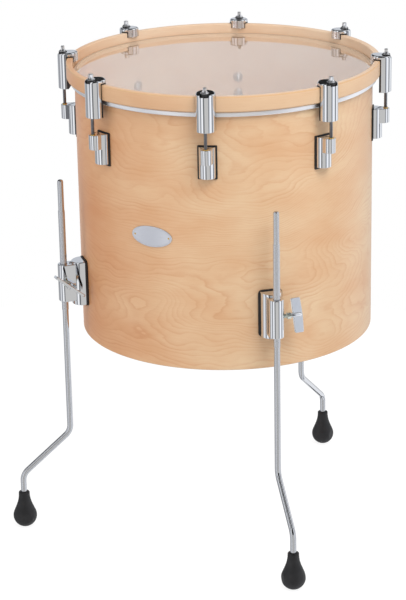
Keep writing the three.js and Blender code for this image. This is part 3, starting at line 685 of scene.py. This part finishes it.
# Claw hooks, their liners, and the tension rods in them
clawSizes = {
    "half": 14.4, "column": 242.85, "hook": 239.8, "back": 241.6, "bottom": 375, "top": 432.4,
    "hookBottom": 418, "slotFace": 230.1, "slotTop": 426.7, "rod": 248.8, "bore": 3.05, "channel": 6.6,
    "channelFloor": 427.6, "edge": 2.8, "fineEdge": 0.6, "fall": 3,
}


# A block with half-round ends and a well rounded top, cut away below into a column and a hook that
# reach round the hoop. An open channel in the top holds the rod's washer
def clawMesh(half, column, hook, back, bottom, top, hookBottom, slotFace, slotTop, rod, bore, channel,
             channelFloor, edge, fineEdge, fall):
    inmost, outmost, lowest = hook - half - spare, column + half + spare, bottom - spare
    under = [(inmost, lowest), (back, lowest), (back, slotTop), (slotFace, slotTop), (slotFace, hookBottom),
             (inmost, hookBottom)]
    foot = [(inmost, lowest), (outmost, lowest), (outmost, bottom), (inmost, bottom)]
    recess = [(channel, outmost), *arc((0, rod), channel, 90, 270, 24), (-channel, outmost)]
    body = prism(roundEnds(half, column, hook), bottom - spare / 2, top + spare / 2)
    return cast("claw", body, [
        (edge, [overSlope(hook - half, outmost, top, fall)]),
        (fineEdge, [prism(under, -half - spare, half + spare, "across"),
                    prism(foot, -half - spare, half + spare, "across"),
                    prism(recess, channelFloor, top + spare),
                    prism(circle((0, rod), bore, 24), lowest, top + spare)]),
    ], 5)


# Its section as (outwards, height): a thin pad down the column with a thicker foot under the hoop, a
# roof and a lip inside the hoop
linerSizes = {
    "half": 14.5, "column": 242.85, "hook": 239.8, "bottom": 375.4, "top": 426.6, "edge": 0.25,
    "section": [(241.5, 375.4), (241.5, 426.6), (230.2, 426.6), (230.2, 417.6), (231.2, 417.6),
                (231.2, 425.2), (240.7, 425.2), (240.7, 401.4), (239, 401.4), (239, 375.4)],
}


def linerMesh(half, column, hook, bottom, top, edge, section):
    around = prism(roundEnds(half, column, hook), bottom - spare, top + spare)
    return cast("liner", prism(section, -half - 1, half + 1, "across"), [(edge, [("INTERSECT", around)])], 2)


# The head's rows are (radius, height, power), where a power of 2 is round and a high one square
rodSizes = {
    "circleAt": 248.8, "end": 331, "threadEnd": 374, "fade": 2, "radius": 2.6, "pitch": 1.06,
    "depth": 0.34, "seat": 432.4, "sides": 32,
    "head": [(2.6, 374, 2), (2.6, 432.4, 2), (5.9, 432.4, 2), (6.1, 432.6, 2), (6.1, 432.9, 2),
             (5.95, 433.1, 2), (5.2, 433.5, 2), (4.2, 434.3, 2.2), (3.4, 435.4, 3), (2.65, 436.8, 12),
             (2.65, 439.9, 14), (2.5, 440.35, 12), (2.05, 440.62, 5), (1.55, 440.7, 3), (0, 440.7, 2)],
}
washerRing = [(2.7, 427.65, 0.1), (6.3, 427.65, 0.3), (6.3, 432.4, 0.3), (2.7, 432.4, 0.1)]


# A thread and a head in one turned surface
def rodMesh(circleAt, end, threadEnd, fade, radius, pitch, depth, seat, sides, head):
    rows, head = np.arange(end, threadEnd, pitch / 6), np.array(head)
    fading = depth * np.clip((threadEnd - rows[:, None]) / fade, 0, 1)
    radii = np.concatenate([np.zeros((1, sides)), threadRadii(rows, radius, pitch, fading, sides),
                            np.tile(head[:, :1], sides)])
    heights = np.concatenate([rows[:1], rows, head[:, 1]])
    power = np.concatenate([np.full(len(rows) + 1, 2), head[:, 2]])
    profile = np.column_stack([np.full(len(heights), radius), heights])
    mesh = makeMesh("rod", aimed(turned(profile, sides, power=power, radii=radii), "up", (0, -circleAt, 0)))
    # The stem under the flange is bare steel, the head is plated
    sortFaces(mesh, lambda middle: middle[:, 2] < seat - 0.01)
    return mesh


# A ring round a rod
def ringMesh(name, ring, sides=40):
    sheet = turned(ring, sides, closed=True)
    return makeMesh(name, aimed(sheet, "up", (0, -rodSizes["circleAt"], 0)))


claw, clawLiner = clawMesh(**clawSizes), linerMesh(**linerSizes)
rod, washer = rodMesh(**rodSizes), ringMesh("washer", rounded(washerRing, 3))
for k, angle in enumerate(lugAngles, 1):
    rodBody = f"tension_rod_{k}"
    makePiece(f"claw_{k}_casting", claw, [castChrome], angle, [f"claw_{k}"])
    makePiece(f"{rodBody}_steel", rod, [headChrome, threadSteel], angle, [rodBody], 35, rodBody)
    makePiece(f"{rodBody}_washer", washer, [blackNylon], angle, (), 40, rodBody)
    makePiece(f"claw_liner_{k}_rubber", clawLiner, [blackRubber], angle, [f"claw_liner_{k}"])
print("claws and tension rods made")


# Lugs: a half-round post with a boss for the insert that takes the rod
lugSizes = {
    "half": 12.5, "centre": 231.2, "root": 215, "bottom": 302, "top": 348.5, "bossHalf": 9,
    "bossCentre": 245.7, "bossRoot": 225, "bossBottom": 326, "bore": 3.05, "rod": 248.8, "back": 231.2,
    "edge": 0.7,
}
insertRing = [(3.05, 345.5), (3.7, 345.5), (3.7, 349.25), (3.45, 349.5), (3.35, 349.5), (3.05, 349.2)]
screwSizes = {"shank": 2.5, "length": 12, "washer": 8, "thickness": 1.2, "head": 4.5, "dome": 2.7,
              "step": 0.3, "dimple": 0.5, "dimpleDepth": 1.2, "wall": 221.4, "sides": 36}
screwHeights = {"lug": (311, 338), "bracket": (65.5, 109.5)}


def shellCutter(radius, low, high, sides=256):
    return turned([(0, low), (radius, low), (radius, high), (0, high)], sides)


def lugMesh(half, centre, root, bottom, top, bossHalf, bossCentre, bossRoot, bossBottom, bore, rod,
            back, edge):
    return cast("lug", prism(roundFront(half, centre, root), bottom, top), [(edge, [
        ("UNION", prism(roundFront(bossHalf, bossCentre, bossRoot), bossBottom, top)),
        shellCutter(back, bottom - spare, top + spare),
        prism(circle((0, rod), bore, 24), bossBottom - spare, top + spare)])])


# A washer against the inside of the shell, and a domed head on it with a dimple, at each height
def screwMesh(heights, shank, length, washer, thickness, head, dome, step, dimple, dimpleDepth, wall, sides):
    ring = rounded([(shank, 0, 0.1), (washer, 0, 0.25), (washer, thickness, 0.35),
                    (shank, thickness, 0.1)], 3)
    crown = arc((0, 0), head, 90, 16, 8) * [1, dome / head] + [0, thickness + step]
    top = crown[-1, 1]
    screw = [(0, -length), (shank, -length), (shank, thickness), (head, thickness), *crown,
             (dimple, top - dimpleDepth), (0, top - dimpleDepth - 0.1)]
    return makeMesh("screws", *[aimed(turned(part, sides, closed=closed), "in", (0, -wall, height))
                                for height in heights for part, closed in ((ring, True), (screw, False))])


lug, insert = lugMesh(**lugSizes), ringMesh("insert", insertRing)
lugScrews, bracketScrews = (screwMesh(screwHeights[name], **screwSizes) for name in ("lug", "bracket"))
for k, angle in enumerate(lugAngles, 1):
    makePiece(f"lug_{k}_casting", lug, [castChrome], angle, [f"lug_{k}"])
    makePiece(f"lug_insert_{k}_brass", insert, [brass], angle, (), 40)
    makePiece(f"lug_screws_{k}_steel", lugScrews, [rodChrome], angle, (), 40)
print("lugs made")


# Leg brackets: a half-round post with an arm that ends in the sleeve
bracketSizes = {
    "half": 16.2, "centre": 234.2, "root": 215, "bottom": 53.5, "top": 125.4, "fall": 4.5, "back": 232.4,
    "sleeve": 11.6, "sleeveCentre": 260, "sleeveRoot": 236, "narrower": 0.6, "sleeveBottom": 60.5,
    "armTop": 120.1, "bore": 5.6, "leg": 262.3, "bolt": 3.45, "boltHeight": 93, "pin": 1.5,
    "pinHeight": 103.5, "pinAt": 261.8, "pinStart": 6, "edge": 1.3, "fineEdge": 0.25,
}
armScrewSizes = {"radius": 3.6, "rise": 0.4, "dome": 0.45, "at": 249.8, "sides": 32}


def bracketMesh(half, centre, root, bottom, top, fall, back, sleeve, sleeveCentre, sleeveRoot, narrower,
                sleeveBottom, armTop, bore, leg, bolt, boltHeight, pin, pinHeight, pinAt, pinStart, edge,
                fineEdge):
    flow = roundFront(sleeve, sleeveCentre, sleeveRoot, narrower)
    arm = cast("arm", prism(flow, sleeveBottom, armTop), [(edge, [])], 4)
    return cast("bracket", prism(roundFront(half, centre, root), bottom, top + spare / 2), [
        (edge, [overSlope(root, centre + half + spare, top, fall)]),
        (fineEdge, [("UNION", arm),
                    shellCutter(back, bottom - spare, top + spare),
                    prism(circle((0, leg), bore, 40), sleeveBottom - spare, top + spare),
                    prism(circle((leg, boltHeight), bolt, 28), 0, sleeve + spare, "across"),
                    prism(circle((pinAt, pinHeight), pin, 16), pinStart, sleeve + spare, "across")]),
    ], 4)


# A small round-headed screw in the arm's top: a dome on a low flange
def armScrewMesh(radius, rise, dome, at, sides):
    crown = arc((0, 0), radius, 90, 0, 8) * [1, dome] + [0, rise + 0.1]
    head = turned([(0, -1), (radius, -1), (radius, rise), *crown], sides)
    return makeMesh("arm_screw", aimed(head, "up", (0, -at, bracketSizes["armTop"])))


bracket, armScrew = bracketMesh(**bracketSizes), armScrewMesh(**armScrewSizes)
for place, angle in legPlaces.items():
    makePiece(f"bracket_{place}_casting", bracket, [castChrome], angle, [f"leg_bracket_{place}"])
    makePiece(f"bracket_{place}_arm_screw", armScrew, [rodChrome], angle, (), 40)
    makePiece(f"bracket_{place}_screws", bracketScrews, [rodChrome], angle, (), 40)
print("brackets made")


# Wing bolts, built across the drum along their own axis. The blades stand a few degrees askew on the
# hub; outlines are (along the bolt, across it, rounding), and the hub's profile (radius, along it)
wingSizes = {
    "blades": [(22.3, 26.2, 2.2), (36.6, 26.2, 2.2), (40.3, 0, 30), (41.6, -28, 2.2), (27.4, -28, 2.2),
               (25, 0, 30)],
    "hub": [(0, 21.4), (3.1, 21.4), (3.6, 21.9), (3.6, 37.3), (3.35, 37.85), (2.8, 38.1), (0, 38.1)],
    "thickness": 4.2, "edge": 0.9, "skew": 5.6, "skewAt": 19.05,
    "tip": 5.45, "stemEnd": 16.3, "stem": 3.2, "pitch": 1, "depth": 0.3, "stemSides": 28,
    "nut": 5.5, "nutStart": 15.8, "nutEnd": 21.8, "nutEdge": 0.5,
}
wingTurns = {"right": -0.1, "left": 0.90, "rear": 0.45}


def wingMeshes(blades, hub, thickness, edge, skew, skewAt, tip, stemEnd, stem, pitch, depth, stemSides, nut,
               nutStart, nutEnd, nutEdge):
    plate = prism(rounded(blades, 5), -thickness / 2, thickness / 2, "out")
    plate["points"] = spun(plate["points"] - [skewAt, 0, 0], math.radians(skew)) + [skewAt, 0, 0]
    rows = np.arange(tip, stemEnd, pitch / 6)
    radii = np.pad(threadRadii(rows, stem, pitch, depth, stemSides), ((1, 1), (0, 0)))
    profile = np.column_stack([np.full(len(rows) + 2, stem), [rows[0], *rows, rows[-1]]])
    return (cast("wings", plate, [(edge, [])]),
            makeMesh("hub", aimed(turned(hub, 48), "across")),
            makeMesh("stem", aimed(turned(profile, stemSides, radii=radii), "across")),
            cast("nut", prism(circle((0, 0), nut, 6, 30), nutStart, nutEnd, "across"), [(nutEdge, [])]))


wings, hub, stem, nut = wingMeshes(**wingSizes)
for place, angle in legPlaces.items():

    # Turned about the bolt's own axis, then put where the bolt passes through the sleeve
    def seated(points, tilt=wingTurns[place]):
        spot = [0, -bracketSizes["leg"], bracketSizes["boltHeight"]]
        return spun(points[:, [1, 2, 0]], tilt)[:, [2, 0, 1]] + spot

    body = f"wing_bolt_{place}"
    for part, mesh, surface, stands, sharp in (
            ("blades", wings, castChrome, [body], None), ("hub", hub, castChrome, (), 40),
            ("stem", stem, zincSteel, (), 40), ("nut", nut, zincSteel, (), None)):
        makePiece(f"wing_{place}_{part}", mesh, [surface], angle, stands, sharp, body, change=seated)
print("wing bolts made")


# Legs and feet. The rows down a leg are (height, radius, depth of its knurling): a rounded tip, a
# plain run, the knurled run and the plain lower rod
legSizes = {
    "rows": [(256.5, 0, 0), (256.4, 1.61, 0), (256, 2.852, 0), (255.2, 3.864, 0), (254.1, 4.416, 0),
             (252.9, 4.6, 0), (230, 4.6, 0), (207.5, 4.6, 0), (206.9, 4.85, 0), (205.9, 5.2, 0.2),
             (125, 5.2, 0.2), (46.1, 5.2, 0.2), (45.1, 4.85, 0), (44.6, 4.75, 0), (-50, 4.75, 0)],
    "ridges": 30, "corner": -160, "slopeOut": -79.5, "slopeDown": -64.8, "bendRadius": 22, "end": -282.2,
    "sides": 120,
}
legSettings = {"right": (0, -0.024), "left": (0.6, 0), "rear": (35.3, -0.03)}  # mm let down, swivel
footSizes = {
    "ball": 18.8, "ballEnd": 22.5, "neck": 8.7, "neckTop": 39.8, "firstPull": 0.44, "secondPull": 0.42,
    "rim": [(7.9, 40.8), (7.5, 41), (5.45, 41), (5.05, 40.5), (5.05, 13), (0, 13)],
    "sideFlat": 17, "sides": 72,
}
footDrop = -295.5


# The bend between two straight runs: centre + (sin, -cos) of the angle turned so far, times radius
def bend(corner, before, after, radius, steps=14):
    turn = math.acos(float(before @ after))
    inward = unit(after - before * (after @ before))
    start = corner - before * radius * math.tan(turn / 2)
    angle = np.linspace(0, turn, steps + 1)[:, None]
    path = start + inward * radius + radius * (before * np.sin(angle) - inward * np.cos(angle))
    return path, before * np.cos(angle) + inward * np.sin(angle)


# A drawn rod with two bends. The knurling's ridges rise where the cosine of ridges times angle does
def legMesh(rows, ridges, corner, slopeOut, slopeDown, bendRadius, end, sides):
    down, high = np.array([0, 0, -1]), np.array([0, 0, corner])
    low = high + [0, slopeOut, slopeDown]
    slope = unit(low - high)
    bends = bend(high, down, slope, bendRadius), bend(low, slope, down, bendRadius)
    heights, radii, depths = np.array(rows).T[..., None]
    path = np.concatenate([heights * [0, 0, 1], bends[0][0], bends[1][0], [[0, low[1], end]] * 2])
    along = np.concatenate([np.tile(down, (len(rows), 1)), bends[0][1], bends[1][1], [down, down]])
    angle = np.linspace(0, 2 * math.pi, sides, endpoint=False)
    straight = radii - depths * (0.5 - 0.5 * np.cos(ridges * angle))
    lower = np.full((len(path) - len(rows), sides), radii[-1])
    lower[-1] = 0
    return makeMesh("leg", carried(path, along, np.concatenate([straight, lower])))


# A ball that runs up into a neck, by a cubic curve from the ball's side to the neck, with a bore
def footMesh(ball, ballEnd, neck, neckTop, firstPull, secondPull, rim, sideFlat, sides):
    lower, lift = arc((0, 0), ball, 180, 90 - ballEnd, 30), math.radians(ballEnd)
    start, end = ball * np.array([math.cos(lift), math.sin(lift)]), np.array([neck, neckTop])
    rise = end[1] - start[1]
    first = start + firstPull * rise * np.array([-math.sin(lift), math.cos(lift)])
    second = end - [0, secondPull * rise]
    t = np.linspace(0, 1, 15)[1:, None]
    curve = (1 - t) ** 3 * start + 3 * (1 - t) ** 2 * t * first + 3 * (1 - t) * t ** 2 * second + t ** 3 * end
    mesh = makeMesh("foot", turned([*lower, *curve, *rim], sides))
    # Its sides are a little flattened
    points = pointsOf(mesh)
    points[:, 0] = np.clip(points[:, 0], -sideFlat, sideFlat)
    setPoints(mesh, points)
    return mesh


leg, foot = legMesh(**legSizes), footMesh(**footSizes)
for place, angle in legPlaces.items():

    # Swivelled about the straight part of the rod and let down by its setting
    def legSeated(points, setting=legSettings[place]):
        return spun(points, setting[1]) - [0, bracketSizes["leg"], setting[0]]

    def footSeated(points, seat=legSeated):
        return seat(points + [0, legSizes["slopeOut"], footDrop])

    body = f"leg_{place}"
    makePiece(f"leg_{place}_rod", leg, [rodChrome], angle, [body], 50, body, legSeated)
    ball = makePiece(f"foot_{place}_ball", foot, [blackRubber], angle, [f"foot_{place}"], 40, body,
                     footSeated)
    # The sole is pressed flat on the floor
    setPoints(ball.data, np.maximum(pointsOf(ball.data), [-np.inf, -np.inf, 0]))
print("legs and feet made")


# A flat sheet of the room, with an empty material to fill
def makeSheet(name, paper, corners):
    mesh = bpy.data.meshes.new(name)
    mesh.from_pydata(corners, [], [range(len(corners))])
    sheet = scratchObject(mesh)
    sheet.name = name
    material, tree, shader, output = newMaterial(paper)
    tree.nodes.remove(shader)
    mesh.materials.append(material)
    return sheet, tree, output


def glowing(tree, colour, strength=1):
    return addNode(tree, "Emission", {"Color": colour, "Strength": strength}).outputs[0]


# A pale floor: white to the camera, where it keeps the object's shadow, and a plain grey to all else
floorLook = {"radius": 1.17, "plain": 0.6, "white": 0.88, "shade": 0.2, "drop": 0.0004, "sides": 128}


def makeFloor(radius, plain, white, shade, drop, sides):
    edge = [(x, y, -drop) for x, y in circle((0, 0), radius, sides)[::-1]]
    floor, tree, output = makeSheet("floor", "paper, plain white sweep", edge)
    shaded, plainly = (addNode(tree, "BsdfDiffuse", {"Color": grey(level)}).outputs[0]
                       for level in (shade, plain))
    shown = addNode(tree, "AddShader", {0: shaded, 1: glowing(tree, grey(1), white)}).outputs[0]
    mixed = {0: addNode(tree, "LightPath").outputs["Is Camera Ray"], 1: plainly, 2: shown}
    feed(output, {"Surface": addNode(tree, "MixShader", mixed).outputs[0]})
    floor.visible_glossy = False


# A lit card behind the object, seen only in its chrome and film: tops that look under its upper edge
# are light, and those that look over it are black
cardLook = {"width": 5, "height": 1.53, "behind": 2, "light": (0.65, 0.68, 0.73, 1)}


def makeCard(width, height, behind, light):
    corners = [(x * width / 2, behind, z * height) for x, z in ((-1, 0), (1, 0), (1, 1), (-1, 1))]
    card, tree, output = makeSheet("card", "paper, lit white card", corners)
    feed(output, {"Surface": glowing(tree, light)})
    card.visible_camera = card.visible_diffuse = card.visible_shadow = card.visible_transmission = False


# The room as the chrome mirrors it: screens round an azimuth in degrees, each from one place to the
# next, with its light, the height in degrees that it reaches up to, and how blue it is. Over the
# screens is a dark roof, and their edges are a little soft
studioLook = {
    "ambient": 0.72, "azimuth": 10, "roof": 0.03, "soft": 1.2,
    "screens": [(-180, -163, 0.9, 18.8, 0.03), (-163, -122, 0.45, 18.8, 0.03), (-122, -95, 0.42, 18.8, 0.06),
                (-95, -72, 0.95, 62, 0.03), (-72, -54, 0.34, 18.8, 0.1), (-54, -32, 1.15, 62, 0.02),
                (-32, -16, 0.2, 18.8, 0.05), (-16, 31, 0.68, 18.8, -0.02), (31, 40, 0.14, 18.8, 0.05),
                (40, 52, 0.8, 84, 0.1), (52, 74, 1.2, 84, 0.03), (74, 95, 0.32, 18.8, 0.12),
                (95, 126, 1.15, 62, 0.03), (126, 180, 0.75, 18.8, 0.02)],
}


# White to the camera and through the film, screens to mirrors, a plain level to all else. A ramp over
# the direction round the room carries each screen's colour, and its top as the alpha
def makeStudio(ambient, azimuth, roof, soft, screens):
    scene.world = bpy.data.worlds.new("studio")
    scene.world.use_nodes = True
    tree = scene.world.node_tree
    tree.nodes.clear()
    way = addNode(tree, "SeparateXYZ", {0: addNode(tree, "TexCoord").outputs["Generated"]}).outputs
    heading = calc(tree, "ARCTAN2", way["X"], calc(tree, "MULTIPLY", way["Y"], -1))
    heading = calc(tree, "WRAP", calc(tree, "SUBTRACT", heading, math.radians(azimuth)), math.pi, -math.pi)
    edge, stops = soft / 360, []
    for start, end, level, top, blue in screens:
        tint = (level * (1 - blue / 2), level, level * (1 + blue), top / 90)
        stops += [((start + 180) / 360 + edge, tint), ((end + 180) / 360 - edge, tint)]
    screen = addNode(tree, "ValToRGB", {"Fac": ranged(tree, heading, -math.pi, math.pi)}, stops).outputs
    height = calc(tree, "MULTIPLY", calc(tree, "ARCSINE", way["Z"]), 2 / math.pi)
    over = calc(tree, "SUBTRACT", height, screen["Alpha"])
    under = ranged(tree, over, -2 * edge, 2 * edge, 1, roof)
    mirrored = blend(tree, under, grey(0), screen["Color"])
    path = addNode(tree, "LightPath").outputs
    lit = blend(tree, path["Is Glossy Ray"], grey(ambient), mirrored)
    seen = calc(tree, "MAXIMUM", path["Is Camera Ray"], path["Is Transmission Ray"])
    shown = addNode(tree, "Background", {"Color": blend(tree, seen, lit, grey(1)), "Strength": 1})
    addNode(tree, "OutputWorld", {"Surface": shown.outputs[0]})


# Round soft lamps, aimed at the object's middle and not mirrored in it
lampLooks = {
    "key": {"place": (1.3, -1.9, 2.9), "size": 1.8, "power": 54},
    "fill": {"place": (-2.75, -1.1, 1.7), "size": 1.5, "power": 13},
}
lampAim = (0, 0, 0.5)


# Puts an object in its place, with its own axes as the columns of a matrix
def putAt(piece, side, up, back, place):
    scene.collection.objects.link(piece)
    piece.matrix_world = Matrix([*np.column_stack([side, up, back, place]).tolist(), [0, 0, 0, 1]])


def makeLamp(name, place, size, power):
    data = bpy.data.lights.new(name, "AREA")
    data.shape, data.size, data.energy = "DISK", size, power
    lamp = bpy.data.objects.new(name, data)
    back = unit(np.subtract(place, lampAim))
    side = unit(np.cross((0, 1, 0), back))
    putAt(lamp, side, np.cross(back, side), back, place)
    lamp.visible_glossy = lamp.visible_camera = False


# Solved from the photograph together with the drum; the focal length is in pixels
cameraLook = {
    "place": (0.37417, -3.35286, 1.36985), "right": (0.993386, 0.114371, 0.010236),
    "down": (0.042826, -0.286312, -0.957179), "forward": (-0.106543, 0.951285, -0.289317),
    "focal": 2198.8, "pictureHeight": 600, "sensor": 36,
}


def makeCamera(place, right, down, forward, focal, pictureHeight, sensor):
    data = bpy.data.cameras.new("camera")
    data.sensor_width, data.lens = sensor, focal * sensor / pictureHeight
    data.clip_start, data.clip_end = 0.05, 60
    scene.camera = bpy.data.objects.new("camera", data)
    putAt(scene.camera, right, np.negative(down), np.negative(forward), place)


makeFloor(**floorLook)
makeCard(**cardLook)
makeStudio(**studioLook)
for name, look in lampLooks.items():
    makeLamp(name, **look)
makeCamera(**cameraLook)
scene.view_settings.view_transform = "Standard"
print("room ready")
